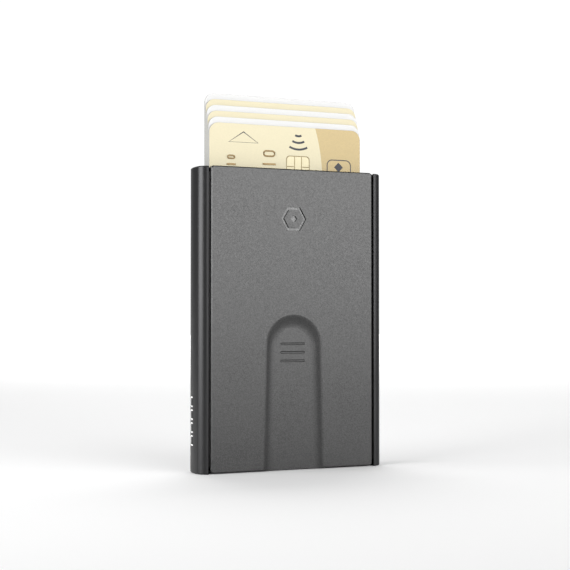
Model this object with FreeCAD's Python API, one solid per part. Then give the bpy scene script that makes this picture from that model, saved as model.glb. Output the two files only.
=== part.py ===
import FreeCAD, Part
import os
from math import asin, atan, cos, degrees, radians, sin, sqrt

# Slim card case: an extruded aluminium shell with two round side rails, a front plate that slides up
# in undercut grooves and lifts six cards with a stepped pusher, and leaf springs that hold the cards
# where they are put.
# Frame: +X to the right, +Y to the back, +Z up. Origin: middle of the case's lower end.

# ---- driving dimensions, mm ----

# cards, ID-1 format
card_width = 53.98
card_height = 85.60
card_thickness = 0.76
card_corner = 3.18
card_count = 6
card_gap = 0.05            # play between two neighbouring cards
card_side_play = 0.36      # from a card's side edge to the cassette wall
card_back_play = 0.09      # from the last card to the back wall
card_lean = -0.25          # the cards lie against the left of their play
step_rise = 2.0            # height of one pusher step
mouth_margin = 0.15        # from the highest stowed card to the case's upper end

# front card's contact module
chip_width = 8.4
chip_height = 10.6
chip_thickness = 0.5
chip_corner = 1.3
chip_drop = 9.5            # from the card's upper edge to the module
chip_offset = 4.1          # module's middle, to the right of the card's

# shell
side_wall = 3.85           # beside the cassette pocket
back_wall = 0.9
rail_radius = 3.1          # round from front or back to a side
side_crown = 20.0          # radius of the slightly crowned sides
end_break = 0.35           # broken edge round both cut ends
rail_face = 3.35           # width of a rail, seen from the front
seam = 0.7                 # open seam between rail and front plate
lip_thickness = 0.9        # rail lip that holds the plate in
lip_break = 0.25

# front plate
plate_thickness = 2.0
plate_corner = 1.0
plate_break = 0.35
plate_foot_gap = 0.3       # plate's lower end above the case's
plate_head = 0.2           # plate's upper end above the case's
tongue_thickness = 0.7
tongue_reach = 1.75
tongue_end_gap = 0.8       # tongue stops this short of both plate ends
slider_travel = 24.9

# thumb recess, open at the plate's lower end
recess_foot_half = 11.2
recess_taper = 0.0236      # each side leans in by this much per unit of height
recess_top = 50.5
recess_depth = 0.95
recess_slope = 4.4         # width of the soft wall
recess_brow = 0.30         # share of that width rounded over at the rim, the rest is the cove
recess_rim = 0.01          # the wall's upper round starts this far above the face

# grip lines above the thumb
grip_count = 3
grip_width = 8.9
grip_height = 0.8
grip_depth = 0.22
grip_top = 41.2            # upper edge of the top line
grip_pitch = 2.75

# engraved hexagon badge
badge_height = 81.3
badge_radius = 4.4
badge_line = 1.0
badge_island = 2.2
badge_depth = 0.45

# glide strips on the tongues
glide_wall = 0.3
glide_cover = 1.05         # how far a strip reaches in over the tongue
glide_play = 0.1           # running clearance in the rail groove

# cassette
cassette_wall = 1.25
cassette_front = 0.9
cassette_play = 0.1        # push fit in the shell's pocket
cassette_top_drop = 0.3
plate_gap = 0.45           # between the plate's back and the cassette
spring_room = 2.05         # between the cassette's front wall and the front card
rib_reach = 1.0
rib_width = 1.2
rib_height_y = -0.4        # middle of the key rib, front to back

# lower closing cap
cap_thickness = 0.7
cap_lift = 0.1             # cap stands back from the shell's end
cap_play = 0.1
ear_reach = 2.3
ear_width = 3.4
ear_place = 2.6            # middle of the ear, front to back
cap_screw_radius = 0.7
cap_screw_head = 1.15
cap_screw_length = 5.0

# pusher
stair_floor_gap = 0.1      # stair above the cap
stair_front_floor = 0.5    # thickness under the front card
stair_half_width = 23.0
stair_web_height = 9.0
stair_play = 0.1           # stair to card, also at the end of travel
carriage_half_width = 20.0
carriage_height = 9.0
carriage_lift = 1.2        # above the cap
carriage_thickness = 1.0
neck_place = 16.0
neck_half_width = 2.0
neck_height = 6.0
slot_play = 0.3
peg_radius = 1.1
peg_place = 8.0
pusher_screw_radius = 0.8
pusher_screw_head = 1.5
pusher_screw_head_height = 0.5
pusher_screw_bite = 1.2    # thread length in the plate

# leaf springs
leaf_thickness = 0.25
leaf_width = 5.5
leaf_place = 13.2
leaf_tab = 7.0
leaf_span = 36.0
leaf_top_drop = 6.5        # upper end of the leaf below the cassette's
pad_thickness = 0.35
pad_height = 9.0
pad_play = 0.1             # drawn clearance from pad to front card
rivet_radius = 0.6
rivet_head = 1.1
rivet_head_height = 0.3
rivet_spread = 1.35

# click stop
ball_radius = 1.0
ball_height = 48.0
ball_play = 0.05
dimple_depth = 0.2
detent_thickness = 0.2
detent_width = 4.0
detent_length = 15.0

# bumpers in the pusher slots
bumper_height = 1.2

# laser marks on the left side
mark_count = 4
mark_pitch = 4.1
mark_length = 3.4
mark_width = 3.0
mark_corner = 0.9
mark_line = 0.5
mark_depth = 0.06
mark_foot = 10.25          # middle of the lowest mark
mark_place = 1.5           # marks' middle line, front to back

# ---- places that follow ----

pocket_half = card_width / 2 + card_side_play + cassette_wall + cassette_play
half_width = pocket_half + side_wall
stack_depth = card_count * card_thickness + (card_count - 1) * card_gap
case_depth = (plate_thickness + plate_gap + cassette_front + spring_room
              + stack_depth + card_back_play + back_wall)
front = -case_depth / 2
back = case_depth / 2
first_step = cap_lift + cap_thickness + stair_floor_gap + stair_front_floor
stowed_foot = first_step + stair_play
case_height = stowed_foot + (card_count - 1) * step_rise + card_height + mouth_margin

plate_half = half_width - rail_face - seam
plate_back = front + plate_thickness
plate_foot = plate_foot_gap
plate_top = case_height + plate_head
tongue_half = plate_half + tongue_reach
glide_half = tongue_half + glide_wall
groove_half = glide_half + glide_play
glide_back = plate_back + glide_wall
groove_back = glide_back + glide_play
glide_front = plate_back - tongue_thickness - glide_wall
groove_front = glide_front - glide_play

cassette_half = pocket_half - cassette_play
cassette_front_face = plate_back + plate_gap
cassette_inner = cassette_front_face + cassette_front
cassette_back = back - back_wall - cassette_play
cassette_foot = cap_lift + cap_thickness
cassette_top = case_height - cassette_top_drop
bay_half = cassette_half - cassette_wall
first_card_face = cassette_inner + spring_room
card_pitch = card_thickness + card_gap

carriage_front = cassette_inner + glide_play
carriage_back = carriage_front + carriage_thickness
carriage_foot = cap_lift + cap_thickness + carriage_lift
neck_foot = carriage_foot + (carriage_height - neck_height) / 2
neck_top = neck_foot + neck_height
slot_foot = neck_foot - slot_play - bumper_height
slot_top = neck_top + slider_travel + slot_play + bumper_height
stair_foot = cap_lift + cap_thickness + stair_floor_gap

leaf_top = cassette_top - leaf_top_drop
leaf_bow_top = leaf_top - leaf_tab
leaf_bow_foot = leaf_bow_top - leaf_span
leaf_apex = first_card_face - pad_play - pad_thickness


# ---- building blocks ----

def block(x0, x1, y0, y1, z0, z1):
    """A box between two corners."""
    return Part.makeBox(x1 - x0, y1 - y0, z1 - z0, FreeCAD.Vector(x0, y0, z0))


def rod(x, y0, y1, z, radius):
    """A round bar along Y."""
    return Part.makeCylinder(radius, y1 - y0, FreeCAD.Vector(x, y0, z), FreeCAD.Vector(0, 1, 0))


def edges_along(solid, axis):
    """The straight edges that run along one axis."""
    found = []
    for edge in solid.Edges:
        if isinstance(edge.Curve, Part.Line) and abs(edge.Curve.Direction.dot(axis)) > 0.999:
            found.append(edge)
    return found


def edges_at(solid, axis, place):
    """The edges that lie wholly in a plane across one axis."""
    found = []
    for edge in solid.Edges:
        box = edge.BoundBox
        low = FreeCAD.Vector(box.XMin, box.YMin, box.ZMin).dot(axis)
        high = FreeCAD.Vector(box.XMax, box.YMax, box.ZMax).dot(axis)
        if abs(low - place) < 1e-4 and abs(high - place) < 1e-4:
            found.append(edge)
    return found


def mirrored(shape):
    """The same piece on the other side."""
    return shape.mirror(FreeCAD.Vector(0, 0, 0), FreeCAD.Vector(1, 0, 0))


def both_sides(shape):
    """A piece and its mirror image."""
    return [shape, mirrored(shape)]


def cut_all(solid, tools):
    """A solid less several others."""
    result = solid
    for tool in tools:
        result = result.cut(tool)
    return result


X_AXIS = FreeCAD.Vector(1, 0, 0)
Y_AXIS = FreeCAD.Vector(0, 1, 0)
Z_AXIS = FreeCAD.Vector(0, 0, 1)


def rounded_plate(half, z0, z1, y0, y1, corner):
    """An upright plate with four round corners."""
    plate = block(-half, half, y0, y1, z0, z1)
    return plate.makeFillet(corner, edges_along(plate, Y_AXIS))


# ---- shell ----

def cap_ear(play):
    """The cap's left and right fixing ears, grown by a play for their pockets."""
    outer = cassette_half + ear_reach + play
    y0 = ear_place - ear_width / 2 - play
    y1 = ear_place + ear_width / 2 + play
    top = cap_lift + cap_thickness
    return both_sides(block(cassette_half - 0.5, outer, y0, y1, cap_lift - play, top))


def cap_screw_x():
    """Middle of a cap screw."""
    return cassette_half + ear_reach / 2


def side_mark(index):
    """One rounded outline on the left side, as a shallow flat-bottomed ring."""
    middle = mark_foot + index * mark_pitch
    far = abs(mark_place) + mark_width / 2
    floor = -half_width + side_crown - sqrt(side_crown ** 2 - far ** 2) + mark_depth

    def tablet(trim):
        """A rounded tablet, smaller by a trim on every side."""
        blank = block(-half_width - 1, floor, mark_place - mark_width / 2 + trim,
                      mark_place + mark_width / 2 - trim, middle - mark_length / 2 + trim,
                      middle + mark_length / 2 - trim)
        return blank.makeFillet(mark_corner - trim, edges_along(blank, X_AXIS))

    return tablet(0).cut(tablet(mark_line))


def shell_outline():
    """Outer section of the shell: flat front and back, crowned sides, a round at each corner."""
    drop = case_depth / 2 - rail_radius
    reach = side_crown - rail_radius
    side_centre = half_width - side_crown
    corner_x = side_centre + sqrt(reach ** 2 - drop ** 2)
    join_x = side_centre + (corner_x - side_centre) * side_crown / reach
    join_y = drop * side_crown / reach
    lean = (join_x - corner_x, join_y - drop)
    half = (lean[0] / rail_radius, lean[1] / rail_radius + 1)
    length = sqrt(half[0] ** 2 + half[1] ** 2)
    mid_x = corner_x + rail_radius * half[0] / length
    mid_y = drop + rail_radius * half[1] / length

    def at(side, x, end, y):
        """A point of the section, on one side and towards one face."""
        return FreeCAD.Vector(side * x, end * y, 0)

    edges = []
    for side in (-1, 1):
        for end in (-1, 1):
            edges.append(Part.Arc(at(side, corner_x, end, case_depth / 2), at(side, mid_x, end, mid_y),
                                  at(side, join_x, end, join_y)).toShape())
        edges.append(Part.Arc(at(side, join_x, -1, join_y), at(side, half_width, 1, 0),
                              at(side, join_x, 1, join_y)).toShape())
    for end in (-1, 1):
        edges.append(Part.makeLine(at(-1, corner_x, end, case_depth / 2),
                                   at(1, corner_x, end, case_depth / 2)))
    return Part.Face(Part.Wire(Part.__sortEdges__(edges)))


def make_body_shell():
    """Extruded shell: back wall, side walls and the two round rails with their undercut grooves."""
    shell = shell_outline().extrude(FreeCAD.Vector(0, 0, case_height))
    ends = edges_at(shell, Z_AXIS, 0) + edges_at(shell, Z_AXIS, case_height)
    shell = shell.makeChamfer(end_break, ends)

    over = 1.0
    seam_half = plate_half + seam
    z0 = -over
    z1 = case_height + over
    plate_way = block(-seam_half, seam_half, front - over, groove_back, z0, z1)
    lip_corner = block(-seam_half - lip_break, seam_half + lip_break, front - over,
                       front + lip_break, z0, z1)
    lip_corner = lip_corner.makeChamfer(lip_break * 0.999, [
        edge for edge in edges_along(lip_corner, Z_AXIS)
        if edge.BoundBox.YMax > front])
    groove = block(-groove_half, groove_half, groove_front, groove_back, z0, z1)
    pocket = block(-pocket_half, pocket_half, groove_back - 0.1, back - back_wall, z0, z1)
    key_half = cassette_half + rib_reach + cassette_play
    key_y0 = rib_height_y - rib_width / 2 - cassette_play
    key_y1 = rib_height_y + rib_width / 2 + cassette_play
    keyway = block(-key_half, key_half, key_y0, key_y1, z0, z1)
    shell = cut_all(shell, [plate_way, lip_corner, groove, pocket, keyway])

    shell = cut_all(shell, cap_ear(cap_play))
    shell = cut_all(shell, both_sides(Part.makeCylinder(
        cap_screw_radius, cap_screw_length, FreeCAD.Vector(cap_screw_x(), ear_place, 0))))
    shell = cut_all(shell, [side_mark(index) for index in range(mark_count)])
    return shell


# ---- cap ----

def cap_screw(x):
    """A countersunk screw that comes up from below, with a hexagon socket."""
    head_height = cap_screw_head - cap_screw_radius
    at = FreeCAD.Vector(x, ear_place, cap_lift)
    head = Part.makeCone(cap_screw_head, cap_screw_radius, head_height, at)
    shank = Part.makeCylinder(cap_screw_radius, cap_screw_length - cap_lift - 0.2, at)
    across = 0.45
    corners = [FreeCAD.Vector(x + across * cos(radians(60 * k)), ear_place + across * sin(radians(60 * k)),
                              cap_lift) for k in range(6)]
    socket = Part.Face(Part.makePolygon(corners + corners[:1])).extrude(FreeCAD.Vector(0, 0, 0.35))
    return head.fuse(shank).cut(socket).removeSplitter()


def make_bottom_cap():
    """Thin plate that closes the pocket below, with an ear over each side wall."""
    top = cap_lift + cap_thickness
    cap = block(-cassette_half, cassette_half, cassette_front_face, cassette_back, cap_lift, top)
    for ear in cap_ear(0):
        cap = cap.fuse(ear)
    cap = cap.removeSplitter()
    sink = Part.makeCone(cap_screw_head, cap_screw_radius, cap_screw_head - cap_screw_radius,
                         FreeCAD.Vector(cap_screw_x(), ear_place, cap_lift))
    hole = Part.makeCylinder(cap_screw_radius, cap_thickness + 1,
                             FreeCAD.Vector(cap_screw_x(), ear_place, cap_lift - 0.5))
    return cut_all(cap, both_sides(sink) + both_sides(hole))


# ---- cassette ----

def rivet_places():
    """Middle of each rivet: two in each leaf spring and one in the click spring."""
    middle = leaf_top - leaf_tab / 2
    places = []
    for x in (-leaf_place, leaf_place):
        for dz in (-rivet_spread, rivet_spread):
            places.append((x, middle + dz, leaf_thickness))
    places.append((0, ball_height + detent_length - 2.5, detent_thickness))
    return places


def make_cassette():
    """Moulded tray: front wall, two side walls with key ribs, and slots for the pusher's necks."""
    tray = block(-cassette_half, cassette_half, cassette_front_face, cassette_back,
                 cassette_foot, cassette_top)
    hollow = block(-bay_half, bay_half, cassette_inner, cassette_back + 1,
                   cassette_foot - 1, cassette_top + 1)
    tray = tray.cut(hollow)
    rib = block(cassette_half - 0.2, cassette_half + rib_reach, rib_height_y - rib_width / 2,
                rib_height_y + rib_width / 2, cassette_foot, cassette_top)
    for piece in both_sides(rib):
        tray = tray.fuse(piece)
    tray = tray.removeSplitter()

    slot_half = neck_half_width + slot_play
    slot = block(neck_place - slot_half, neck_place + slot_half, cassette_front_face - 1,
                 cassette_inner + 1, slot_foot, slot_top)
    tray = cut_all(tray, both_sides(slot))
    ball_hole = rod(0, cassette_front_face - 1, cassette_inner + 1, ball_height, ball_radius + ball_play)
    tray = tray.cut(ball_hole)
    for x, z, _ in rivet_places():
        tray = tray.cut(rod(x, cassette_front_face - 1, cassette_inner + 1, z, rivet_radius))
        sink = rod(x, cassette_front_face - 1, cassette_front_face + rivet_head_height, z, rivet_head)
        tray = tray.cut(sink)

    lead = 0.5
    mouth_edges = [edge for edge in edges_at(tray, Z_AXIS, cassette_top)
                   if abs(edge.BoundBox.XMax - edge.BoundBox.XMin) > bay_half
                   and abs(edge.BoundBox.YMin - cassette_inner) < 1e-4]
    return tray.makeChamfer(lead, mouth_edges)


def make_stop_bumpers():
    """A soft block at each end of both pusher slots."""
    half = neck_half_width + slot_play
    blocks = []
    for z0 in (slot_foot, slot_top - bumper_height):
        bumper = block(neck_place - half, neck_place + half, cassette_front_face, cassette_inner,
                       z0, z0 + bumper_height)
        blocks += both_sides(bumper)
    return Part.makeCompound(blocks)


# ---- springs that hold the cards ----

def leaf_section():
    """Side view of a leaf: a flat tab, one long bow towards the cards, and a short foot."""
    y0 = cassette_inner
    y1 = cassette_inner + leaf_thickness
    foot = 1.2
    middle = (leaf_bow_top + leaf_bow_foot) / 2

    def at(y, z):
        """A point in the leaf's own plane."""
        return FreeCAD.Vector(0, y, z)

    outer = Part.Arc(at(y1, leaf_bow_top), at(leaf_apex, middle), at(y1, leaf_bow_foot)).toShape()
    inner = Part.Arc(at(y0, leaf_bow_foot), at(leaf_apex - leaf_thickness, middle),
                     at(y0, leaf_bow_top)).toShape()
    edges = [
        Part.makeLine(at(y1, leaf_top), at(y1, leaf_bow_top)),
        outer,
        Part.makeLine(at(y1, leaf_bow_foot), at(y1, leaf_bow_foot - foot)),
        Part.makeLine(at(y1, leaf_bow_foot - foot), at(y0, leaf_bow_foot - foot)),
        Part.makeLine(at(y0, leaf_bow_foot - foot), at(y0, leaf_bow_foot)),
        inner,
        Part.makeLine(at(y0, leaf_bow_top), at(y0, leaf_top)),
        Part.makeLine(at(y0, leaf_top), at(y1, leaf_top)),
    ]
    return Part.Face(Part.Wire(edges))


def make_leaf_spring():
    """The right-hand leaf spring."""
    face = leaf_section()
    face.translate(FreeCAD.Vector(leaf_place - leaf_width / 2, 0, 0))
    leaf = face.extrude(FreeCAD.Vector(leaf_width, 0, 0))
    for x, z, _ in rivet_places():
        leaf = leaf.cut(rod(x, cassette_inner - 1, cassette_inner + 1, z, rivet_radius))
    return leaf


def make_grip_pad():
    """The right-hand soft pad on the leaf's crown, flat towards the cards."""
    middle = (leaf_bow_top + leaf_bow_foot) / 2
    half = leaf_width / 2 - 0.4
    pad = block(leaf_place - half, leaf_place + half, cassette_inner + 1, leaf_apex + pad_thickness,
                middle - pad_height / 2, middle + pad_height / 2)
    face = leaf_section()
    face.translate(FreeCAD.Vector(leaf_place - leaf_width, 0, 0))
    bow = face.extrude(FreeCAD.Vector(2 * leaf_width, 0, 0))
    pieces = pad.cut(bow).Solids
    return max(pieces, key=lambda piece: piece.BoundBox.YMax)


def make_spring_rivets():
    """Flat-headed rivets through the spring tabs and the cassette's front wall."""
    rivets = []
    for x, z, grip in rivet_places():
        inner = cassette_inner + grip
        shank = rod(x, cassette_front_face, inner, z, rivet_radius)
        head = rod(x, inner, inner + rivet_head_height, z, rivet_head)
        clinch = rod(x, cassette_front_face, cassette_front_face + rivet_head_height, z, rivet_head)
        rivets.append(shank.fuse(head).fuse(clinch).removeSplitter())
    return Part.makeCompound(rivets)


# ---- click stop ----

def make_detent_ball():
    """Ball that clicks into the plate's two dimples."""
    y = plate_back + pad_play + ball_radius
    return Part.makeSphere(ball_radius, FreeCAD.Vector(0, y, ball_height))


def make_detent_spring():
    """Flat strip behind the ball."""
    y0 = cassette_inner
    ball_back = plate_back + pad_play + 2 * ball_radius
    strip = block(-detent_width / 2, detent_width / 2, y0, y0 + detent_thickness,
                  ball_height - 2.5, ball_height + detent_length)
    strip = strip.cut(rod(0, y0 - 1, y0 + 1, ball_height + detent_length - 2.5, rivet_radius))
    seat = Part.makeSphere(ball_radius, FreeCAD.Vector(0, ball_back - ball_radius, ball_height))
    return strip.cut(seat)


# ---- slider ----

def make_recess():
    """The space that the thumb recess takes out of the plate: a soft wall, rounded over at the face
    and coved at the floor, run down one side, round the arch and down the other."""
    lean = sqrt(1 + recess_taper ** 2)
    angle = degrees(atan(recess_taper))
    radius = (recess_foot_half - recess_taper * recess_top) / (lean - recess_taper)
    centre = FreeCAD.Vector(0, 0, recess_top - radius)
    floor = front + recess_depth
    rim = front - recess_rim
    above = front - 1.0
    half_turn = atan((floor - rim) / recess_slope)
    both_radii = recess_slope / sin(2 * half_turn)
    brow_radius = both_radii * recess_brow
    cove_radius = both_radii - brow_radius
    inner = radius - recess_slope
    meeting = radius - recess_slope * recess_brow
    fall = (floor - rim) * recess_brow

    def at(distance, y):
        """A point of the wall's section, by its distance from the arch's middle."""
        return FreeCAD.Vector(distance, y, 0)

    def along(arc_radius):
        """How far an arc reaches and rises over half of its turn."""
        return arc_radius * sin(half_turn), arc_radius * (1 - cos(half_turn))

    reach, rise = along(cove_radius)
    cove = Part.Arc(at(inner, floor), at(inner + reach, floor - rise), at(meeting, rim + fall))
    reach, rise = along(brow_radius)
    brow = Part.Arc(at(meeting, rim + fall), at(radius - reach, rim + rise), at(radius, rim))
    section = Part.Face(Part.Wire([
        cove.toShape(),
        brow.toShape(),
        Part.makeLine(at(radius, rim), at(radius, above)),
        Part.makeLine(at(radius, above), at(0, above)),
        Part.makeLine(at(0, above), at(0, floor)),
        Part.makeLine(at(0, floor), at(inner, floor)),
    ]))
    section.rotate(FreeCAD.Vector(0, 0, 0), Y_AXIS, -angle)
    section.translate(centre)

    arch = section.revolve(centre, Y_AXIS, -(180 - 2 * angle))
    run = centre.z + 3.0
    side = section.extrude(FreeCAD.Vector(recess_taper * run, 0, -run))
    middle = block(-inner / 2, inner / 2, above, floor, -1.0, centre.z + 1.0)
    space = arch.fuse(both_sides(side) + [middle])
    return space.removeSplitter()


def hexagon(radius, y, deep):
    """A hexagonal block with a corner at each side, sunk from a plane."""
    corners = []
    for k in range(6):
        angle = radians(60 * k)
        corners.append(FreeCAD.Vector(radius * cos(angle), y, badge_height + radius * sin(angle)))
    return Part.Face(Part.makePolygon(corners + corners[:1])).extrude(FreeCAD.Vector(0, deep, 0))


def make_slider_plate():
    """Front plate with side tongues, thumb recess, grip lines and badge."""
    plate = rounded_plate(plate_half, plate_foot, plate_top, front, plate_back, plate_corner)
    plate = plate.makeChamfer(plate_break, edges_at(plate, Y_AXIS, front))
    tongue = block(plate_half - 0.5, tongue_half, plate_back - tongue_thickness, plate_back,
                   plate_foot + tongue_end_gap + plate_corner, plate_top - tongue_end_gap - plate_corner)
    for piece in both_sides(tongue):
        plate = plate.fuse(piece)
    plate = plate.removeSplitter()
    plate = plate.cut(make_recess())

    over = 1.0
    for index in range(grip_count):
        half_height = grip_height / 2
        groove_radius = (half_height ** 2 + grip_depth ** 2) / (2 * grip_depth)
        half_run = grip_width / 2 - groove_radius
        middle = FreeCAD.Vector(-half_run, front + recess_depth + grip_depth - groove_radius,
                                grip_top - half_height - index * grip_pitch)
        line = Part.makeCylinder(groove_radius, 2 * half_run, middle, X_AXIS)
        for piece in (Part.makeSphere(groove_radius, middle),
                      Part.makeSphere(groove_radius, middle + X_AXIS * 2 * half_run)):
            line = line.fuse(piece)
        plate = plate.cut(line.removeSplitter())

    ring = hexagon(badge_radius, front - over, over + badge_depth)
    ring = ring.cut(hexagon(badge_radius - badge_line, front - over, over + badge_depth))
    plate = cut_all(plate, [ring, hexagon(badge_island / 2, front - over, over + badge_depth)])

    for z in (ball_height, ball_height - slider_travel):
        ball = Part.makeSphere(ball_radius, FreeCAD.Vector(0, plate_back - dimple_depth + ball_radius, z))
        plate = plate.cut(ball)
    neck_middle = (neck_foot + neck_top) / 2
    hole = rod(neck_place, plate_back - pusher_screw_bite, plate_back + 1, neck_middle, pusher_screw_radius)
    return cut_all(plate, both_sides(hole))


def make_glide_strip():
    """The right-hand glide strip, a channel pressed over the tongue's edge."""
    z0 = plate_foot + tongue_end_gap + plate_corner
    z1 = plate_top - tongue_end_gap - plate_corner
    strip = block(glide_half - glide_cover, glide_half, glide_front, glide_back, z0, z1)
    tongue = block(plate_half, tongue_half, glide_front + glide_wall, plate_back, z0 - 1, z1 + 1)
    return strip.cut(tongue)


def make_pusher_carriage():
    """Sled behind the cassette's front wall, with a neck through each slot to the plate."""
    z0 = carriage_foot
    z1 = carriage_foot + carriage_height
    sled = block(-carriage_half_width, carriage_half_width, carriage_front, carriage_back, z0, z1)
    sled = sled.makeFillet(1.0, edges_along(sled, Y_AXIS))
    neck = block(neck_place - neck_half_width, neck_place + neck_half_width, plate_back,
                 carriage_front + 0.5, neck_foot, neck_top)
    for piece in both_sides(neck):
        sled = sled.fuse(piece)
    sled = sled.removeSplitter()
    middle = (neck_foot + neck_top) / 2
    bore = rod(neck_place, plate_back - 1, carriage_back + 1, middle, pusher_screw_radius)
    seat = rod(neck_place, carriage_back - pusher_screw_head_height, carriage_back + 1, middle,
               pusher_screw_head)
    peg_hole = rod(peg_place, carriage_front - 1, carriage_back + 1, middle, peg_radius)
    return cut_all(sled, both_sides(bore) + both_sides(seat) + both_sides(peg_hole))


def make_pusher_screws():
    """Two flat-headed screws that join the carriage to the plate."""
    middle = (neck_foot + neck_top) / 2
    shank = rod(neck_place, plate_back - pusher_screw_bite, carriage_back, middle, pusher_screw_radius)
    head = rod(neck_place, carriage_back - pusher_screw_head_height, carriage_back, middle,
               pusher_screw_head)
    screw = shank.fuse(head).removeSplitter()
    slot = block(neck_place - 1.1, neck_place + 1.1, carriage_back - 0.35, carriage_back + 1,
                 middle - 0.2, middle + 0.2)
    return Part.makeCompound(both_sides(screw.cut(slot)))


def make_card_stair():
    """Stepped shelf under the cards, with a web that is pegged to the carriage."""
    web_back = first_card_face - stair_play
    middle = (neck_foot + neck_top) / 2
    stair = block(-stair_half_width, stair_half_width, carriage_back, web_back, stair_foot,
                  stair_foot + stair_web_height)
    for index in range(card_count):
        y0 = web_back - 0.01 if index == 0 else first_card_face + index * card_pitch - card_gap / 2
        top = first_step + index * step_rise
        step = block(-stair_half_width, stair_half_width, y0, back - back_wall - stair_play,
                     stair_foot, top)
        stair = stair.fuse(step)
    peg = rod(peg_place, carriage_front, carriage_back + 0.2, middle, peg_radius)
    for piece in both_sides(peg):
        stair = stair.fuse(piece)
    return stair.removeSplitter()


# ---- cards ----

def card_foot(index):
    """Lower edge of a card when it has been lifted; index 0 is the front card."""
    return stowed_foot + slider_travel + index * step_rise


def make_card(index):
    """One card at its lifted place."""
    y0 = first_card_face + index * card_pitch
    z0 = card_foot(index)
    card = rounded_plate(card_width / 2, z0, z0 + card_height, y0, y0 + card_thickness, card_corner)
    card.translate(FreeCAD.Vector(card_lean, 0, 0))
    if index == 0:
        card = card.cut(make_card_chip())
    return card


def make_card_chip():
    """Contact module let into the front card's face."""
    top = card_foot(0) + card_height - chip_drop
    middle = card_lean + chip_offset
    chip = block(middle - chip_width / 2, middle + chip_width / 2, first_card_face,
                 first_card_face + chip_thickness, top - chip_height, top)
    return chip.makeFillet(chip_corner, edges_along(chip, Y_AXIS))


# ---- files ----

pieces = {
    "body_shell": make_body_shell(),
    "bottom_cap": make_bottom_cap(),
    "cap_screws": Part.makeCompound([cap_screw(cap_screw_x()), cap_screw(-cap_screw_x())]),
    "cassette": make_cassette(),
    "stop_bumpers": make_stop_bumpers(),
    "leaf_spring_right": make_leaf_spring(),
    "leaf_spring_left": mirrored(make_leaf_spring()),
    "grip_pad_right": make_grip_pad(),
    "grip_pad_left": mirrored(make_grip_pad()),
    "spring_rivets": make_spring_rivets(),
    "detent_ball": make_detent_ball(),
    "detent_spring": make_detent_spring(),
    "slider_plate": make_slider_plate(),
    "glide_strip_right": make_glide_strip(),
    "glide_strip_left": mirrored(make_glide_strip()),
    "pusher_carriage": make_pusher_carriage(),
    "pusher_screws": make_pusher_screws(),
    "card_stair": make_card_stair(),
    "card_1_chip": make_card_chip(),
}
for card_index in range(card_count):
    pieces["card_" + str(card_index + 1)] = make_card(card_index)

os.makedirs("parts", exist_ok=True)
for name, shape in pieces.items():
    shape.exportStep("parts/" + name + ".step")
    bounds = shape.BoundBox
    print(name, shape.isValid(), len(shape.Solids), round(shape.Volume, 2),
          [round(value, 3) for value in (bounds.XMin, bounds.XMax, bounds.YMin, bounds.YMax,
                                         bounds.ZMin, bounds.ZMax)])
print("case", round(2 * half_width, 3), round(case_depth, 3), round(case_height, 3))
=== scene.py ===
import bpy
from math import cos, radians
from mathutils import Matrix, Vector


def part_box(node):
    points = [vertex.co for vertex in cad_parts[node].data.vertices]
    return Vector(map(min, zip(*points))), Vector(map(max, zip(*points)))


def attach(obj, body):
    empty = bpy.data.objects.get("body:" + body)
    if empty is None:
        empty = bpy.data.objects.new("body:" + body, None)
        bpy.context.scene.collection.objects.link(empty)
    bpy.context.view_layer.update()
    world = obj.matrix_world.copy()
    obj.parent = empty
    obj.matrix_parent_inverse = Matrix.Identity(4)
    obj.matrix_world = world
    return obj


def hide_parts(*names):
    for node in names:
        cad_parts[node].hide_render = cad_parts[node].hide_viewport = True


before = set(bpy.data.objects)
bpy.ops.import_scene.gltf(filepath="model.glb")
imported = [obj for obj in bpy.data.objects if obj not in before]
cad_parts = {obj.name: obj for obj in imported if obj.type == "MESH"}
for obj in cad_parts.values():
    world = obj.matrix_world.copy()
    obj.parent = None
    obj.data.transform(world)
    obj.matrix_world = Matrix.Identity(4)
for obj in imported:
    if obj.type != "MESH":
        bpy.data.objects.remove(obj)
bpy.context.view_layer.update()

bl_info = {
    "name": "Slim card case",
    "version": (1, 0, 0),
    "blender": (4, 5, 0),
    "location": "3D View > Sidebar > Card case",
    "description": "Finishes, printed cards and studio for a slim slide-up card case",
    "category": "Object",
}

MM = 0.001
CARD_COUNT = 6
CHIP_CORNER = 1.3 * MM

# boxes of the nodes that the new pieces and finishes are fitted to
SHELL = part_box("body_shell")
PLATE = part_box("slider_plate")
FRONT_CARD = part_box("card_1")
BACK_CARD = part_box("card_6")
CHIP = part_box("card_1_chip")

# place, aim and size of the three panel lights
FRONT_AT = (0.20, -0.46, 0.25)
FRONT_AIM = (0.0, 0.0, 0.25)
FRONT_SIZE = (0.62, 0.46)
LEFT_AT = (-0.45, -0.06, 0.23)
LEFT_AIM = (0.0, 0.0, 0.23)
LEFT_SIZE = (0.45, 0.42)
BACK_AT = (1.0, 1.8, 1.5)
BACK_AIM = (1.0, 1.8, 0.0)
BACK_SIZE = (2.6, 2.6)
PANEL_SPREAD = radians(110)

# the surround is dim, with one bright patch that fades in as a direction nears the patch's own
PATCH_TOWARDS = (0.40, 0.916, 0.0)
PATCH_STARTS = 0.80
PATCH_IS_FULL = 0.93
PATCH_STRENGTH = 1.05
ROOM_STRENGTH = 0.25

FLOOR_SIZE = 6.0
FLOOR_AT = (0.5, -0.5, 0.0)
SENSOR_WIDTH = 36.0


# ---- settings ----

def length(name, description, default):
    """A length property in metres."""
    return bpy.props.FloatProperty(name=name, description=description, default=default, unit="LENGTH",
                                   precision=5)


def colour(name, description, default):
    """A colour property."""
    return bpy.props.FloatVectorProperty(name=name, description=description, default=default,
                                         subtype="COLOR", size=3, min=0.0, max=1.0)


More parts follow.
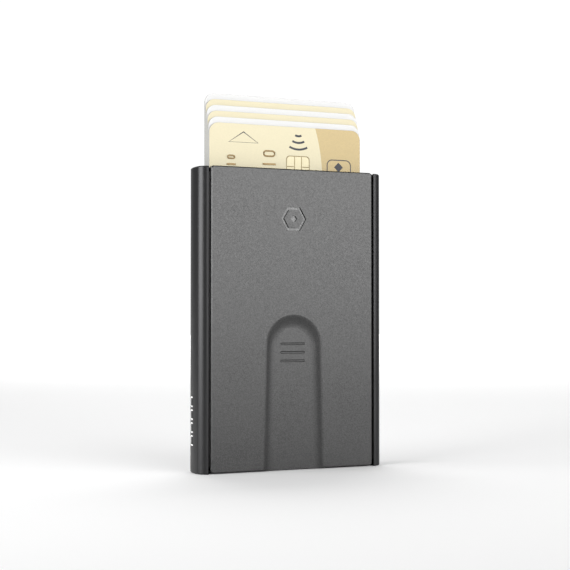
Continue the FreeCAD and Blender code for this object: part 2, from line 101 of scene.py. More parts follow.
class CaseFinish(bpy.types.PropertyGroup):
    """Colours and grain of the case itself."""
    plate: colour("Front plate", "Blasted and anodised front plate", (0.066, 0.066, 0.066))
    rails: colour("Rails", "Satin anodised shell and rails", (0.044, 0.044, 0.045))
    moulding: colour("Mouldings", "Black moulded pieces", (0.022, 0.022, 0.024))
    marks: colour("Side marks", "White fill of the etched side marks", (0.82, 0.82, 0.80))
    grain: length("Blasting grain", "Width of one grain of the blasted surface", 0.30 * MM)


class CardPrint(bpy.types.PropertyGroup):
    """Colours and sizes of the printed cards."""
    white: colour("White card", "Face of the white cards", (0.62, 0.62, 0.615))
    cream: colour("Cream card", "Face of the cream cards", (0.62, 0.56, 0.375))
    gold: colour("Gold panel", "Darker panel on the front card", (0.47, 0.355, 0.155))
    # the grey of the card edges is painted shade, darker than the card faces
    core: colour("Card core", "Bare edge of a card", (0.30, 0.30, 0.29))
    ink: colour("Ink", "Dark printed lines", (0.018, 0.020, 0.030))
    foil: colour("Foil", "Tipping foil on the raised characters", (0.22, 0.155, 0.075))
    corner: length("Corner", "Round of a card's corners", 3.18 * MM)
    rim: length("Rim", "Broken edge round a card", 0.07 * MM)
    ink_proud: length("Ink height", "How far ink stands above the face", 0.015 * MM)
    emboss_height: length("Emboss height", "How far raised characters stand above the face", 0.22 * MM)


class StudioSet(bpy.types.PropertyGroup):
    """Floor, lights and camera."""
    floor: colour("Floor", "Pale floor", (0.90, 0.90, 0.90))
    camera_place: bpy.props.FloatVectorProperty(
        name="Camera place", description="Where the camera stands", size=3, unit="LENGTH",
        default=(-0.17028, -0.3869, 0.05042))
    camera_turn: bpy.props.FloatProperty(
        name="Camera turn", description="How far the camera looks to the right of straight back",
        default=radians(23.667), unit="ROTATION")
    camera_lift: bpy.props.FloatProperty(
        name="Camera lift", description="How far the camera looks above the horizon",
        default=radians(1.292), unit="ROTATION")
    lens: bpy.props.FloatProperty(name="Lens", description="Focal length in millimetres", default=81.45)
    key_power: bpy.props.FloatProperty(
        name="Key", description="Power of the large front light in watts", default=1.4)
    side_power: bpy.props.FloatProperty(
        name="Side", description="Power of the left panel light in watts", default=1.7)
    back_power: bpy.props.FloatProperty(
        name="Back", description="Power of the light over the back of the floor in watts", default=42.0)


# ---- nodes of a finish ----

class Finish:
    """A material under construction, with its patterns on object coordinates."""

    def __init__(self, name):
        self.material = bpy.data.materials.new(name)
        self.material.use_nodes = True
        self.tree = self.material.node_tree
        self.shader = self.tree.nodes["Principled BSDF"]
        self.place = self.add("ShaderNodeTexCoord").outputs["Object"]

    def add(self, kind, **settings):
        """A new node with some of its settings."""
        node = self.tree.nodes.new(kind)
        for key, value in settings.items():
            setattr(node, key, value)
        return node

    def feed(self, target, value):
        """Links a socket, or sets a plain value on it."""
        if isinstance(value, bpy.types.NodeSocket):
            self.tree.links.new(value, target)
        else:
            target.default_value = value

    def set(self, **values):
        """Sets or links the shader's sockets; an underscore stands for a space."""
        for key, value in values.items():
            if isinstance(value, tuple) and len(value) == 3:
                value = (*value, 1.0)
            self.feed(self.shader.inputs[key.replace("_", " ")], value)

    def math(self, operation, first, second=0.0):
        """One arithmetic step."""
        node = self.add("ShaderNodeMath", operation=operation)
        self.feed(node.inputs[0], first)
        self.feed(node.inputs[1], second)
        return node.outputs[0]

    def axes(self):
        """The three object coordinates."""
        node = self.add("ShaderNodeSeparateXYZ")
        self.feed(node.inputs[0], self.place)
        return node.outputs

    def stretched(self, scale):
        """Object coordinates scaled differently along each axis."""
        node = self.add("ShaderNodeMapping")
        node.inputs["Scale"].default_value = scale
        self.feed(node.inputs["Vector"], self.place)
        return node.outputs[0]

    def noise(self, size, detail=2.0, roughness=0.5, vector=None):
        """Noise with features about size metres wide, or in scaled units of a given vector."""
        node = self.add("ShaderNodeTexNoise")
        self.feed(node.inputs["Vector"], vector or self.place)
        node.inputs["Scale"].default_value = 1.0 / size
        node.inputs["Detail"].default_value = detail
        node.inputs["Roughness"].default_value = roughness
        return node.outputs[0]

    def spread(self, value, low, high, start=0.3, end=0.7):
        """Maps a value to a range."""
        node = self.add("ShaderNodeMapRange")
        self.feed(node.inputs["Value"], value)
        node.inputs["From Min"].default_value = start
        node.inputs["From Max"].default_value = end
        node.inputs["To Min"].default_value = low
        node.inputs["To Max"].default_value = high
        return node.outputs[0]

    def blend(self, factor, first, second):
        """Mixes two colours."""
        node = self.add("ShaderNodeMix", data_type="RGBA")
        self.feed(node.inputs[0], factor)
        for socket, value in ((node.inputs[6], first), (node.inputs[7], second)):
            self.feed(socket, (*value, 1.0) if isinstance(value, tuple) else value)
        return node.outputs[2]

    def bump(self, height, depth, strength=1.0, below=None):
        """Relief from a height pattern, depth metres deep, on top of another relief."""
        node = self.add("ShaderNodeBump")
        node.inputs["Strength"].default_value = strength
        node.inputs["Distance"].default_value = depth
        self.feed(node.inputs["Height"], height)
        if below:
            self.feed(node.inputs["Normal"], below)
        return node.outputs[0]


def shade(tint, share):
    """A colour made lighter or darker."""
    return tuple(min(1.0, channel * share) for channel in tint)


# ---- finishes ----

def blasted_metal(name, tint, grain, low, high):
    """Blasted and anodised aluminium: even grain, a little cloudiness, soft reflections, and a paler,
    coarser floor where the badge is etched into the face."""
    finish = Finish(name)
    fine = finish.noise(grain, 3.0, 0.7)
    coarse = finish.noise(grain * 2.6, 3.0, 0.6)
    cloud = finish.noise(16 * MM, 3.0, 0.5)
    speckle = finish.blend(finish.spread(fine, 0.0, 1.0), shade(tint, 0.66), shade(tint, 1.36))
    base = finish.blend(finish.spread(cloud, 0.0, 0.30), speckle, shade(tint, 1.14))
    x, y, z = finish.axes()
    badge_floor = PLATE[0].y + 0.30 * MM
    badge_foot = (PLATE[0].z + PLATE[1].z) * 0.7
    badge_reach = (PLATE[1].x - PLATE[0].x) * 0.2
    sunk = finish.math("GREATER_THAN", y, badge_floor)
    upper = finish.math("GREATER_THAN", z, badge_foot)
    inner = finish.math("LESS_THAN", finish.math("ABSOLUTE", x), badge_reach)
    etched = finish.math("MULTIPLY", finish.math("MULTIPLY", sunk, upper), inner)
    pits = finish.blend(finish.spread(fine, 0.0, 1.0), shade(tint, 0.75), shade(tint, 2.5))
    base = finish.blend(etched, base, pits)
    relief = finish.bump(fine, 0.030 * MM, 0.45)
    relief = finish.bump(coarse, 0.040 * MM, 0.18, relief)
    finish.set(Base_Color=base, Metallic=1.0, Roughness=finish.spread(coarse, low, high), Normal=relief)
    return finish.material


def satin_metal(name, tint, grain):
    """Extruded and anodised aluminium: faint draw lines along the length under a satin sheen."""
    finish = Finish(name)
    fine = finish.noise(grain, 2.0, 0.6)
    lines = finish.noise(1.0, 3.0, 0.6, finish.stretched((6000.0, 6000.0, 60.0)))
    base = finish.blend(finish.spread(lines, 0.0, 1.0), shade(tint, 0.86), shade(tint, 1.12))
    relief = finish.bump(lines, 0.004 * MM, 0.35)
    relief = finish.bump(fine, 0.006 * MM, 0.30, relief)
    finish.set(Base_Color=base, Metallic=1.0, Roughness=finish.spread(fine, 0.34, 0.42), Normal=relief)
    return finish.material


def moulded_plastic(name, tint):
    """Moulding from a spark-eroded tool: a fine pebble and a faint flow pattern."""
    finish = Finish(name)
    pebble = finish.noise(0.14 * MM, 3.0, 0.6)
    flow = finish.noise(6 * MM, 2.0, 0.5)
    base = finish.blend(finish.spread(flow, 0.0, 1.0), shade(tint, 0.85), shade(tint, 1.25))
    finish.set(Base_Color=base, Roughness=finish.spread(pebble, 0.52, 0.70),
               Normal=finish.bump(pebble, 0.015 * MM, 0.6))
    return finish.material


def soft_rubber(name, tint):
    """Silicone: matt, with a very fine dust-like grain."""
    finish = Finish(name)
    dust = finish.noise(0.09 * MM, 3.0, 0.7)
    base = finish.blend(finish.spread(dust, 0.0, 1.0), shade(tint, 0.8), shade(tint, 1.4))
    finish.set(Base_Color=base, Roughness=finish.spread(dust, 0.78, 0.92),
               Normal=finish.bump(dust, 0.010 * MM, 0.5))
    return finish.material


def rolled_steel(name, tint):
    """Rolled spring strip: long fine rolling lines along the strip."""
    finish = Finish(name)
    lines = finish.noise(1.0, 4.0, 0.7, finish.stretched((9000.0, 4000.0, 90.0)))
    base = finish.blend(finish.spread(lines, 0.0, 1.0), shade(tint, 0.82), shade(tint, 1.1))
    finish.set(Base_Color=base, Metallic=1.0, Roughness=finish.spread(lines, 0.22, 0.40),
               Normal=finish.bump(lines, 0.004 * MM, 0.4))
    return finish.material


def turned_steel(name, tint, low, high):
    """Turned or polished steel with fine tool marks."""
    finish = Finish(name)
    marks = finish.noise(0.12 * MM, 4.0, 0.7)
    base = finish.blend(finish.spread(marks, 0.0, 1.0), shade(tint, 0.85), shade(tint, 1.08))
    finish.set(Base_Color=base, Metallic=1.0, Roughness=finish.spread(marks, low, high),
               Normal=finish.bump(marks, 0.002 * MM, 0.3))
    return finish.material


def contact_gold(name, tint):
    """Pale gold plating with fine wipe marks."""
    finish = Finish(name)
    wipes = finish.noise(1.0, 4.0, 0.7, finish.stretched((7000.0, 7000.0, 300.0)))
    base = finish.blend(finish.spread(wipes, 0.0, 1.0), shade(tint, 0.94), shade(tint, 1.06))
    finish.set(Base_Color=base, Metallic=0.35, Roughness=finish.spread(wipes, 0.38, 0.50),
               Normal=finish.bump(wipes, 0.003 * MM, 0.3))
    return finish.material


def card_core(name, tint):
    """Bare card edge: thin laminated layers, a little rough from punching, in a grey darker than the card
    face that is painted shade on the edges.
    """
    finish = Finish(name)
    fibre = finish.noise(1.0, 3.0, 0.6, finish.stretched((2500.0, 14000.0, 2500.0)))
    base = finish.blend(finish.spread(fibre, 0.0, 1.0), shade(tint, 0.86), shade(tint, 1.12))
    finish.set(Base_Color=base, Roughness=finish.spread(fibre, 0.55, 0.75),
               Normal=finish.bump(fibre, 0.010 * MM, 0.5))
    return finish.material


def printed_face(name, tint, panel, low, high, gold_panel):
    """Satin card face with printer's grain. The panel is a darker shade beyond a long curve on the front
    card, and a slanting band in the lower half of the others."""
    finish = Finish(name)
    dots = finish.noise(0.30 * MM, 3.0, 0.7)
    x, _, z = finish.axes()
    blur = 0.04 * MM
    if gold_panel:
        widest_down = 17 * MM
        edge = (low.x + high.x) / 2 + 12.95 * MM
        bend = 8.9
        rise = finish.math("SUBTRACT", z, high.z - widest_down)
        curve = finish.math("MULTIPLY", finish.math("MULTIPLY", rise, rise), bend)
        across = finish.math("ADD", x, curve)
        mask = finish.spread(across, 0.0, 1.0, edge - blur, edge + blur)
    else:
        band_down = 52 * MM
        half_band = 10 * MM
        slope = 0.35
        slant = finish.math("ADD", z, finish.math("MULTIPLY", x, slope))
        offset = finish.math("ABSOLUTE", finish.math("SUBTRACT", slant, high.z - band_down))
        mask = finish.spread(offset, 1.0, 0.0, half_band - blur, half_band + blur)
    paper = finish.blend(finish.spread(dots, 0.0, 1.0), shade(tint, 0.96), shade(tint, 1.03))
    tone = finish.blend(finish.spread(dots, 0.0, 1.0), shade(panel, 0.92), shade(panel, 1.08))
    finish.set(Base_Color=finish.blend(mask, paper, tone), Roughness=finish.spread(dots, 0.36, 0.44),
               Coat_Weight=0.08, Coat_Roughness=0.3, Normal=finish.bump(dots, 0.002 * MM, 0.3))
    return finish.material


def flat_ink(name, tint, roughness):
    """Printed ink with a slightly uneven lay."""
    finish = Finish(name)
    lay = finish.noise(0.10 * MM, 3.0, 0.6)
    base = finish.blend(finish.spread(lay, 0.0, 1.0), shade(tint, 0.85), shade(tint, 1.3))
    finish.set(Base_Color=base, Roughness=finish.spread(lay, roughness - 0.06, roughness + 0.06),
               Normal=finish.bump(lay, 0.003 * MM, 0.4))
    return finish.material


def tipping_foil(name, tint):
    """Hot foil on raised characters: metallic, worn thin in places."""
    finish = Finish(name)
    wear = finish.noise(0.25 * MM, 3.0, 0.6)
    base = finish.blend(finish.spread(wear, 0.0, 1.0), shade(tint, 0.7), shade(tint, 1.15))
    finish.set(Base_Color=base, Metallic=0.8, Roughness=finish.spread(wear, 0.28, 0.50))
    return finish.material


# ---- modelling helpers ----

def clear_selection():
    """Leaves edit mode and deselects everything."""
    if bpy.context.object and bpy.context.object.mode != "OBJECT":
        bpy.ops.object.mode_set(mode="OBJECT")
    bpy.ops.object.select_all(action="DESELECT")


def take(piece):
    """Makes one object the only selected and active one."""
    clear_selection()
    piece.select_set(True)
    bpy.context.view_layer.objects.active = piece


def settle(piece, name):
    """Names a piece and puts its place into its mesh."""
    take(piece)
    bpy.ops.object.transform_apply(location=True, rotation=True, scale=True)
    piece.name = name
    piece.data.name = name
    return piece


def ready(piece, mode):
    """Deselects all of a mesh in one of the select modes, so that code can select parts of it."""
    take(piece)
    bpy.ops.object.mode_set(mode="EDIT")
    bpy.ops.mesh.select_mode(type=mode)
    bpy.ops.mesh.select_all(action="DESELECT")
    bpy.ops.object.mode_set(mode="OBJECT")


def choose_edges(piece, test):
    """Selects the edges whose two ends pass a test, and opens edit mode on them."""
    ready(piece, "EDGE")
    points = piece.data.vertices
    for edge in piece.data.edges:
        first, second = (points[index].co for index in edge.vertices)
        edge.select = test(first, second)
    bpy.ops.object.mode_set(mode="EDIT")


def slab(name, low, high, corner, rim, segments):
    """A tablet that faces front, with round corners and, given a rim, finely broken edges."""
    bpy.ops.mesh.primitive_cube_add(size=1.0, location=(low + high) / 2, scale=high - low)
    piece = settle(bpy.context.object, name)
    same = 1e-7
    choose_edges(piece, lambda a, b: abs(a.x - b.x) < same and abs(a.z - b.z) < same)
    bpy.ops.mesh.bevel(offset=corner, segments=segments, affect="EDGES")
    bpy.ops.object.mode_set(mode="OBJECT")
    if rim:
        choose_edges(piece, lambda a, b: abs(a.y - b.y) < same)
        bpy.ops.mesh.bevel(offset=rim, segments=2, affect="EDGES")
        bpy.ops.object.mode_set(mode="OBJECT")
    bpy.ops.object.shade_smooth_by_angle(angle=radians(15))
    return piece


def frame_wire(width, height, corner, segments):
    """A closed wire that faces front: a rectangle with round corners."""
    bpy.ops.mesh.primitive_plane_add(size=1.0, rotation=(radians(90), 0, 0))
    wire = bpy.context.object
    wire.scale = (width, height, 1.0)
    bpy.ops.object.transform_apply(location=True, rotation=True, scale=True)
    ready(wire, "VERT")
    bpy.ops.object.mode_set(mode="EDIT")
    bpy.ops.mesh.select_all(action="SELECT")
    bpy.ops.mesh.bevel(offset=corner, segments=segments, affect="VERTICES")
    bpy.ops.mesh.select_all(action="SELECT")
    bpy.ops.mesh.delete(type="ONLY_FACE")
    bpy.ops.object.mode_set(mode="OBJECT")
    return wire


def triangle_wire(width, height):
    """A closed triangle wire that faces front, its middle at its middle height."""
    bpy.ops.mesh.primitive_circle_add(vertices=3, radius=1.0, fill_type="NOTHING",
                                      rotation=(radians(90), 0, 0))
    wire = bpy.context.object
    bpy.ops.object.transform_apply(location=True, rotation=True, scale=True)
    across = [point.co.x for point in wire.data.vertices]
    levels = [point.co.z for point in wire.data.vertices]
    wide = max(across) - min(across)
    tall = max(levels) - min(levels)
    wire.location.z = -(max(levels) + min(levels)) / 2 * height / tall
    wire.scale = (width / wide, 1.0, height / tall)
    bpy.ops.object.transform_apply(location=True, rotation=True, scale=True)
    return wire


def stroke(wire, name, line, proud, place):
    """Turns a wire into a flattened stroke of a line width, standing a little proud of a face."""
    take(wire)
    if wire.type == "MESH":
        bpy.ops.object.convert(target="CURVE")
    wire = bpy.context.object
    wire.data.bevel_depth = line / 2
    wire.data.bevel_resolution = 1
    wire.data.use_fill_caps = True
    bpy.ops.object.convert(target="MESH")
    wire = bpy.context.object
    wire.scale.y = 2 * proud / line
    wire.location = place
    settle(wire, name)
    bpy.ops.object.shade_smooth_by_angle(angle=radians(60))
    return wire


def arc_wire(radius, spread):
    """An open arc that faces front and hangs below its centre, spread radians wide."""
    bpy.ops.mesh.primitive_circle_add(vertices=128, radius=radius, fill_type="NOTHING",
                                      rotation=(radians(90), 0, 0))
    wire = bpy.context.object
    bpy.ops.object.transform_apply(location=True, rotation=True, scale=True)
    ready(wire, "VERT")
    for point in wire.data.vertices:
        point.select = point.co.z > -radius * cos(spread / 2)
    bpy.ops.object.mode_set(mode="EDIT")
    bpy.ops.mesh.delete(type="VERT")
    bpy.ops.object.mode_set(mode="OBJECT")
    return wire


def joined(pieces, name):
    """Several pieces made one object."""
    clear_selection()
    for piece in pieces:
        piece.select_set(True)
    bpy.context.view_layer.objects.active = pieces[0]
    if len(pieces) > 1:
        bpy.ops.object.join()
    whole = bpy.context.object
    whole.name = name
    whole.data.name = name
    return whole


def copied(piece, name, offset):
    """A copy with its own mesh, moved by an offset."""
    twin = piece.copy()
    twin.data = piece.data.copy()
    twin.data.transform(Matrix.Translation(offset))
    twin.name = name
    bpy.context.collection.objects.link(twin)
    return twin


def dress(piece, *materials):
    """Gives a piece its materials."""
    piece.data.materials.clear()
    for material in materials:
        piece.data.materials.append(material)
    return piece


def seat(piece, body):
    """Lets a piece move with a body."""
    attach(piece, body)
    return piece


# ---- operators ----

class CASE_OT_metal(bpy.types.Operator):
    """Finish the shell and the front plate"""
    bl_idname = "card_case.metal"
    bl_label = "Anodised metal"

    def execute(self, context):
        finish = context.scene.case_finish
        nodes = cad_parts
        shell_grain = finish.grain * 0.6
        satin = satin_metal("satin_anodised_shell", tuple(finish.rails), shell_grain)
        blasted = blasted_metal("blasted_anodised_plate", tuple(finish.plate), finish.grain, 0.33, 0.42)
        dress(nodes["body_shell"], satin)
        dress(nodes["slider_plate"], blasted)
        return {"FINISHED"}


class CASE_OT_inside(bpy.types.Operator):
    """Finish the mouldings, springs, screws and pads"""
    bl_idname = "card_case.inside"
    bl_label = "Inner pieces"

    def execute(self, context):
        finish = context.scene.case_finish
        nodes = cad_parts
        moulding = tuple(finish.moulding)
        rubber = (0.015, 0.015, 0.016)
        silicone = (0.10, 0.10, 0.10)
        steel = (0.55, 0.55, 0.56)
        polished_steel = (0.70, 0.70, 0.72)
        black_zinc = (0.16, 0.16, 0.17)
        finishes = {
            moulded_plastic("cassette_moulding_black", moulding): ["cassette"],
            moulded_plastic("cap_moulding_black", shade(moulding, 1.3)): ["bottom_cap"],
            moulded_plastic("carriage_moulding_grey", shade(moulding, 2.4)): ["pusher_carriage"],
            moulded_plastic("stair_moulding_grey", shade(moulding, 3.0)): ["card_stair"],
            moulded_plastic("glide_moulding_grey", shade(moulding, 1.8)):
                ["glide_strip_left", "glide_strip_right"],
            soft_rubber("bumper_rubber_black", rubber): ["stop_bumpers"],
            soft_rubber("pad_silicone_grey", silicone): ["grip_pad_left", "grip_pad_right"],
            rolled_steel("rolled_spring_steel", steel):
                ["leaf_spring_left", "leaf_spring_right", "detent_spring"],
            turned_steel("rivet_turned_steel", shade(steel, 0.9), 0.26, 0.40): ["spring_rivets"],
            turned_steel("ball_polished_steel", polished_steel, 0.06, 0.14): ["detent_ball"],
            turned_steel("screw_black_zinc", black_zinc, 0.28, 0.42): ["cap_screws", "pusher_screws"],
        }
        for material, names in finishes.items():
            for name in names:
                dress(nodes[name], material)
        return {"FINISHED"}


class CASE_OT_cards(bpy.types.Operator):
    """Make the six printed cards"""
    bl_idname = "card_case.cards"
    bl_label = "Cards"

    def execute(self, context):
        look = context.scene.card_print
        white = tuple(look.white)
        cream = tuple(look.cream)
        # the card edges get a grey that is painted shade
        core = card_core("laminated_card_edge_painted_shade", tuple(look.core))
        for number in range(1, CARD_COUNT + 1):
            node = "card_" + str(number)
            is_front = number == 1
            is_cream = number % 2 == 1
            tint = cream if is_cream else white
            panel = tuple(look.gold) if is_front else shade(tint, 0.80)
            low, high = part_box(node)
            card = slab("printed_" + node, low, high, look.corner, look.rim, 12)
            face = printed_face(node + "_print", tint, panel, low, high, is_front)
            dress(card, face, core)
            for polygon in card.data.polygons:
                is_edge = abs(polygon.normal.y) < 0.5
                polygon.material_index = 1 if is_edge else 0
            if is_front:
                self.cut_pocket(card)
            seat(card, node)
            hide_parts(node)
        return {"FINISHED"}

    def cut_pocket(self, card):
        """Lets the contact module's pocket into the front card."""
        gap = 0.03 * MM
        reach = 1.0 * MM
        low, high = CHIP
        cutter = slab("pocket_cutter", low - Vector((gap, reach, gap)), high + Vector((gap, 0, gap)),
                      CHIP_CORNER, 0, 8)
        take(card)
        pocket = card.modifiers.new("pocket", "BOOLEAN")
        pocket.operation = "DIFFERENCE"
        pocket.object = cutter
        bpy.ops.object.modifier_apply(modifier="pocket")
        bpy.data.objects.remove(cutter)
        bpy.ops.object.shade_smooth_by_angle(angle=radians(15))


class CASE_OT_chip(bpy.types.Operator):
    """Make the front card's contact module"""
    bl_idname = "card_case.chip"
    bl_label = "Contact module"

    def execute(self, context):
        look = context.scene.card_print
        low, high = CHIP
        chip = slab("contact_module", low, high, CHIP_CORNER, 0.05 * MM, 8)
        dress(chip, contact_gold("contact_plating", shade(tuple(look.cream), 0.85)))
        seat(chip, "card_1")
        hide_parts("card_1_chip")

        grooves = joined(self.groove_lines(look.ink_proud), "contact_grooves")
        dress(grooves, flat_ink("contact_groove_line", shade(tuple(look.gold), 0.55), 0.5))
        seat(grooves, "card_1")
        return {"FINISHED"}

    def groove_lines(self, proud):
        """A line round the module, two upright ones that part its columns, and two across each side."""
        line = 0.28 * MM
        left_column, right_column = 0.355, 0.655
        levels = (0.32, 0.66)
        low, high = CHIP
        width = high.x - low.x
        height = high.z - low.z
        face = Vector(((low.x + high.x) / 2, low.y, (low.z + high.z) / 2))

        def groove(left, right, foot, top):
            """One straight line on the face."""
            return slab("groove", Vector((left, low.y - proud, foot)), Vector((right, low.y, top)),
                        0.05 * MM, 0, 2)

        rim = frame_wire(width - line, height - line, CHIP_CORNER - 0.1 * MM, 6)
        lines = [stroke(rim, "rim", line, proud, face)]
        for column in (left_column, right_column):
            middle = low.x + column * width
            lines.append(groove(middle - line / 2, middle + line / 2, low.z + line, high.z - line))
        for share in levels:
            level = low.z + share * height
            for start, end in ((0.0, left_column), (right_column, 1.0)):
                lines.append(groove(low.x + start * width + line, low.x + end * width - line,
                                    level - line / 2, level + line / 2))
        return lines


class CASE_OT_print(bpy.types.Operator):
    """Print the signs on the front card"""
    bl_idname = "card_case.print"
    bl_label = "Front card print"

    def execute(self, context):
        look = context.scene.card_print
        ink = flat_ink("printed_ink", tuple(look.ink), 0.5)
        for sign in (self.arrow(look.ink_proud), self.waves(look.ink_proud), self.tag(look.ink_proud)):
            dress(sign, ink)
            seat(sign, "card_1")
        return {"FINISHED"}

    def on_face(self, across, down):
        """A place on the front card, in millimetres from its middle and its upper edge."""
        low, high = FRONT_CARD
        return Vector(((low.x + high.x) / 2 + across * MM, low.y, high.z - down * MM))

    def arrow(self, proud):
        """A flat triangle that shows which end goes in."""
        width = 10.2 * MM
        height = 3.4 * MM
        line = 0.42 * MM
        return stroke(triangle_wire(width, height), "insert_arrow", line, proud, self.on_face(-15.2, 4.3))

    def waves(self, proud):
        """Three arcs about one centre."""
        line = 0.80 * MM
        first_radius = 2.4 * MM
        pitch = 2.2 * MM
        centre = self.on_face(4.25, 0.55)
        arcs = []
        for index in range(3):
            wire = arc_wire(first_radius + index * pitch, radians(60))
            arcs.append(stroke(wire, "wave", line, proud, centre))
        return joined(arcs, "wave_sign")

    def tag(self, proud):
        """A rounded frame round a diamond and a bar."""
        line = 0.38 * MM
        half = 1.15 * MM
        outline = frame_wire(8.7 * MM, 12.0 * MM, 1.8 * MM, 6)
        outline = stroke(outline, "tag_line", line, proud, self.on_face(19.1, 16.2))
        diamond = slab("diamond", Vector((-half, -proud, -half)), Vector((half, 0, half)), 0.15 * MM, 0, 3)
        diamond.rotation_euler.y = radians(45)
        diamond.location = self.on_face(18.95, 12.6)
        settle(diamond, "diamond")
        bar = slab("bar", self.on_face(16.6, 15.6) - Vector((0, proud, 0)), self.on_face(21.3, 14.9),
                   0.1 * MM, 0, 2)
        return joined([outline, diamond, bar], "tag_sign")


class CASE_OT_emboss(bpy.types.Operator):
    """Raise two rows of plain loops and bars on the front card"""
    bl_idname = "card_case.emboss"
    bl_label = "Raised characters"

    def execute(self, context):
        look = context.scene.card_print
        foil = tipping_foil("worn_tipping_foil", tuple(look.foil))
        number_row = self.row("raised_number_row", look.emboss_height, across=-6.2 * MM, down=9.2 * MM,
                              tall=4.6 * MM, wide=2.3 * MM, pitch=3.45 * MM, count=19, group=5)
        name_row = self.row("raised_name_row", look.emboss_height, across=-19.5 * MM, down=10.9 * MM,
                            tall=3.1 * MM, wide=1.5 * MM, pitch=2.35 * MM, count=20, group=8)
        for row in (number_row, name_row):
            dress(row, foil)
            seat(row, "card_1")
        return {"FINISHED"}

    def row(self, name, height, across, down, tall, wide, pitch, count, group):
        """Characters one below the other, every third one a bar, with a space after each group. They lie
        on their sides, so their height runs across the card."""
        line = 0.60 * MM
        low, high = FRONT_CARD
        middle = (low.x + high.x) / 2 + across
        loop = frame_wire(tall - line, wide - line, wide * 0.42, 4)
        loop = stroke(loop, "loop", line, height, Vector((middle, low.y, high.z)))
        bar = slab("bar", Vector((middle - tall / 2, low.y - height, high.z - line / 2)),
                   Vector((middle + tall / 2, low.y + height, high.z + line / 2)), 0.12 * MM, 0.08 * MM, 3)
        glyphs = []
        for index in range(count):
            is_space = index % group == group - 1
            if not is_space:
                model = bar if index % 3 == 1 else loop
                glyphs.append(copied(model, "glyph", Vector((0, 0, -down - index * pitch))))
        bpy.data.objects.remove(loop)
        bpy.data.objects.remove(bar)
        return joined(glyphs, name)


class CASE_OT_card_back(bpy.types.Operator):
    """Print the stripe and the writing panel on the back of the last card"""
    bl_idname = "card_case.card_back"
    bl_label = "Back card print"

    def execute(self, context):
        low, high = BACK_CARD
        sunk = high.y - 0.02 * MM
        proud = high.y + context.scene.card_print.ink_proud
        end_gap = 0.1 * MM
        oxide = (0.028, 0.024, 0.022)
        stripe = slab("dark_stripe", Vector((low.x + 4.0 * MM, sunk, low.z + end_gap)),
                      Vector((low.x + 16.7 * MM, proud, high.z - end_gap)), 0.01 * MM, 0, 2)
        panel = slab("writing_panel", Vector((low.x + 22.0 * MM, sunk, high.z - 62 * MM)),
                     Vector((low.x + 31.0 * MM, proud, high.z - 8 * MM)), 0.8 * MM, 0, 6)
        dress(stripe, flat_ink("stripe_oxide", oxide, 0.38))
        dress(panel, self.ruled_panel())
        for piece in (stripe, panel):
            seat(piece, "card_6")
        return {"FINISHED"}

    def ruled_panel(self):
        """Matt writing panel with fine slanting lines."""
        lines_a_metre = 1400.0
        paper = (0.78, 0.78, 0.76)
        blue_grey = (0.52, 0.56, 0.62)
        finish = Finish("ruled_writing_panel")
        x, _, z = finish.axes()
        slant = finish.math("ADD", x, z)
        phase = finish.math("FRACT", finish.math("MULTIPLY", slant, lines_a_metre))
        rule = finish.spread(phase, 1.0, 0.0, 0.18, 0.26)
        finish.set(Base_Color=finish.blend(rule, paper, blue_grey), Roughness=0.85,
                   Normal=finish.bump(finish.noise(0.12 * MM), 0.004 * MM, 0.4))
        return finish.material


class CASE_OT_marks(bpy.types.Operator):
    """Fill the etched marks on the left side with white"""
    bl_idname = "card_case.marks"
    bl_label = "Side marks"

    def execute(self, context):
        finish = context.scene.case_finish
        count = 4
        pitch = 4.1 * MM
        foot = 10.25 * MM
        place = 1.5 * MM
        long = 3.4 * MM
        wide = 3.0 * MM
        corner = 0.9 * MM
        line = 0.5 * MM
        etch_depth = 0.06 * MM
        fill_depth = 0.03 * MM
        play = 0.01 * MM
        side_radius = 20.0 * MM
        farthest = place + wide / 2
        bulge = side_radius - (side_radius ** 2 - farthest ** 2) ** 0.5
        floor = SHELL[0].x + bulge + etch_depth
        bpy.ops.mesh.primitive_plane_add(size=1.0, rotation=(0, radians(-90), 0),
                                         location=(floor - play, place, foot))
        mark = bpy.context.object
        mark.scale = (long - 2 * play, wide - 2 * play, 1.0)
        settle(mark, "mark")
        ready(mark, "VERT")
        bpy.ops.object.mode_set(mode="EDIT")
        bpy.ops.mesh.select_all(action="SELECT")
        bpy.ops.mesh.bevel(offset=corner - play, segments=8, affect="VERTICES")
        bpy.ops.mesh.select_all(action="SELECT")
        bpy.ops.mesh.inset(thickness=line - 2 * play, depth=0)
        bpy.ops.mesh.delete(type="FACE")
        bpy.ops.object.mode_set(mode="OBJECT")
        fill = mark.modifiers.new("fill", "SOLIDIFY")
        fill.thickness = fill_depth
        fill.offset = 1.0
        bpy.ops.object.modifier_apply(modifier="fill")
        marks = [copied(mark, "mark", Vector((0, 0, index * pitch))) for index in range(count)]
        bpy.data.objects.remove(mark)
        row = joined(marks, "white_side_marks")
        dress(row, flat_ink("white_mark_fill", tuple(finish.marks), 0.6))
        seat(row, "case")
        return {"FINISHED"}


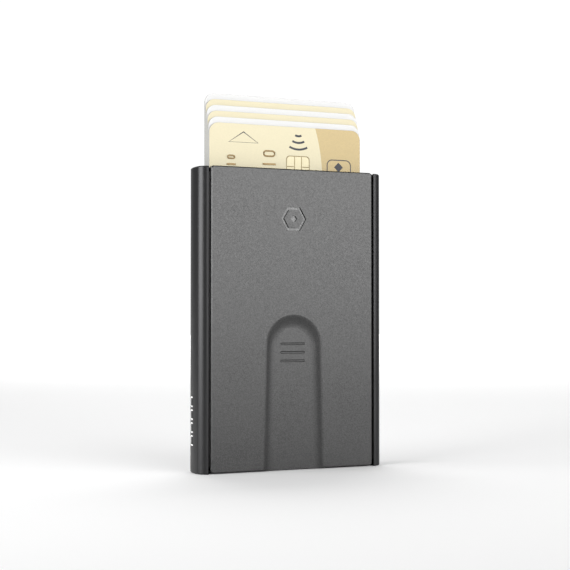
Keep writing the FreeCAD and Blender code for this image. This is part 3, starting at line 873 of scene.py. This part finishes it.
class CASE_OT_stage(bpy.types.Operator):
    """Set up the floor, the lights and the camera"""
    bl_idname = "card_case.stage"
    bl_label = "Studio"

    def execute(self, context):
        studio = context.scene.studio_set
        scene = context.scene
        scene.view_settings.view_transform = "Standard"
        bpy.ops.mesh.primitive_plane_add(size=FLOOR_SIZE, location=FLOOR_AT)
        floor = settle(bpy.context.object, "floor")
        dress(floor, self.floor_paint(tuple(studio.floor)))
        self.surround(scene)
        self.softbox("front_panel", FRONT_AT, FRONT_AIM, FRONT_SIZE, studio.key_power)
        self.softbox("left_panel", LEFT_AT, LEFT_AIM, LEFT_SIZE, studio.side_power)
        self.softbox("back_light", BACK_AT, BACK_AIM, BACK_SIZE, studio.back_power)
        self.camera(scene, studio)
        return {"FINISHED"}

    def floor_paint(self, tint):
        """Pale matt floor."""
        finish = Finish("pale_floor")
        wear = finish.noise(0.2, 2.0)
        finish.set(Base_Color=finish.blend(finish.spread(wear, 0.0, 1.0), shade(tint, 0.99), tint),
                   Roughness=0.9)
        return finish.material

    def surround(self, scene):
        """A dim, even surround with one bright patch behind the object."""
        world = bpy.data.worlds.new("studio_surround")
        scene.world = world
        world.use_nodes = True
        tree = world.node_tree
        room = tree.nodes["Background"]
        room.inputs["Color"].default_value = (1.0, 1.0, 1.0, 1.0)
        place = tree.nodes.new("ShaderNodeTexCoord")
        towards = tree.nodes.new("ShaderNodeVectorMath")
        towards.operation = "DOT_PRODUCT"
        towards.inputs[1].default_value = PATCH_TOWARDS
        ramp = tree.nodes.new("ShaderNodeMapRange")
        ramp.interpolation_type = "SMOOTHSTEP"
        ramp.inputs["From Min"].default_value = PATCH_STARTS
        ramp.inputs["From Max"].default_value = PATCH_IS_FULL
        ramp.inputs["To Min"].default_value = ROOM_STRENGTH
        ramp.inputs["To Max"].default_value = PATCH_STRENGTH
        tree.links.new(place.outputs["Generated"], towards.inputs[0])
        tree.links.new(towards.outputs["Value"], ramp.inputs["Value"])
        tree.links.new(ramp.outputs[0], room.inputs["Strength"])

    def softbox(self, name, place, aim, size, power):
        """A rectangular light aimed at a point."""
        bpy.ops.object.light_add(type="AREA", location=place)
        lamp = bpy.context.object
        lamp.name = name
        lamp.data.shape = "RECTANGLE"
        lamp.data.size, lamp.data.size_y = size
        lamp.data.energy = power
        lamp.data.spread = PANEL_SPREAD
        lamp.rotation_euler = (Vector(aim) - Vector(place)).to_track_quat("-Z", "Y").to_euler()
        lamp.visible_camera = False

    def camera(self, scene, studio):
        """The camera at its place, turned and lifted as set."""
        bpy.ops.object.camera_add(location=studio.camera_place,
                                  rotation=(radians(90) + studio.camera_lift, 0, -studio.camera_turn))
        camera = bpy.context.object
        camera.name = "camera"
        camera.data.sensor_width = SENSOR_WIDTH
        camera.data.lens = studio.lens
        camera.data.clip_start = 0.01
        scene.camera = camera


class CASE_PT_panel(bpy.types.Panel):
    """Lists the card case's steps"""
    bl_idname = "CASE_PT_panel"
    bl_label = "Card case"
    bl_space_type = "VIEW_3D"
    bl_region_type = "UI"
    bl_category = "Card case"

    def draw(self, context):
        for settings in (context.scene.case_finish, context.scene.card_print, context.scene.studio_set):
            box = self.layout.box()
            for key in settings.__annotations__:
                box.prop(settings, key)
        for step in STEPS:
            self.layout.operator(step.bl_idname)


STEPS = (CASE_OT_metal, CASE_OT_inside, CASE_OT_cards, CASE_OT_chip, CASE_OT_print, CASE_OT_emboss,
         CASE_OT_card_back, CASE_OT_marks, CASE_OT_stage)
CLASSES = (CaseFinish, CardPrint, StudioSet, *STEPS, CASE_PT_panel)


def register():
    """Registers the classes and their settings."""
    for item in CLASSES:
        bpy.utils.register_class(item)
    bpy.types.Scene.case_finish = bpy.props.PointerProperty(type=CaseFinish)
    bpy.types.Scene.card_print = bpy.props.PointerProperty(type=CardPrint)
    bpy.types.Scene.studio_set = bpy.props.PointerProperty(type=StudioSet)


def unregister():
    """Takes the classes and their settings away again."""
    del bpy.types.Scene.case_finish
    del bpy.types.Scene.card_print
    del bpy.types.Scene.studio_set
    for item in reversed(CLASSES):
        bpy.utils.unregister_class(item)


def main():
    """Runs every step in order."""
    register()
    for step in STEPS:
        group, action = step.bl_idname.split(".")
        getattr(getattr(bpy.ops, group), action)()


if __name__ == "__main__":
    main()
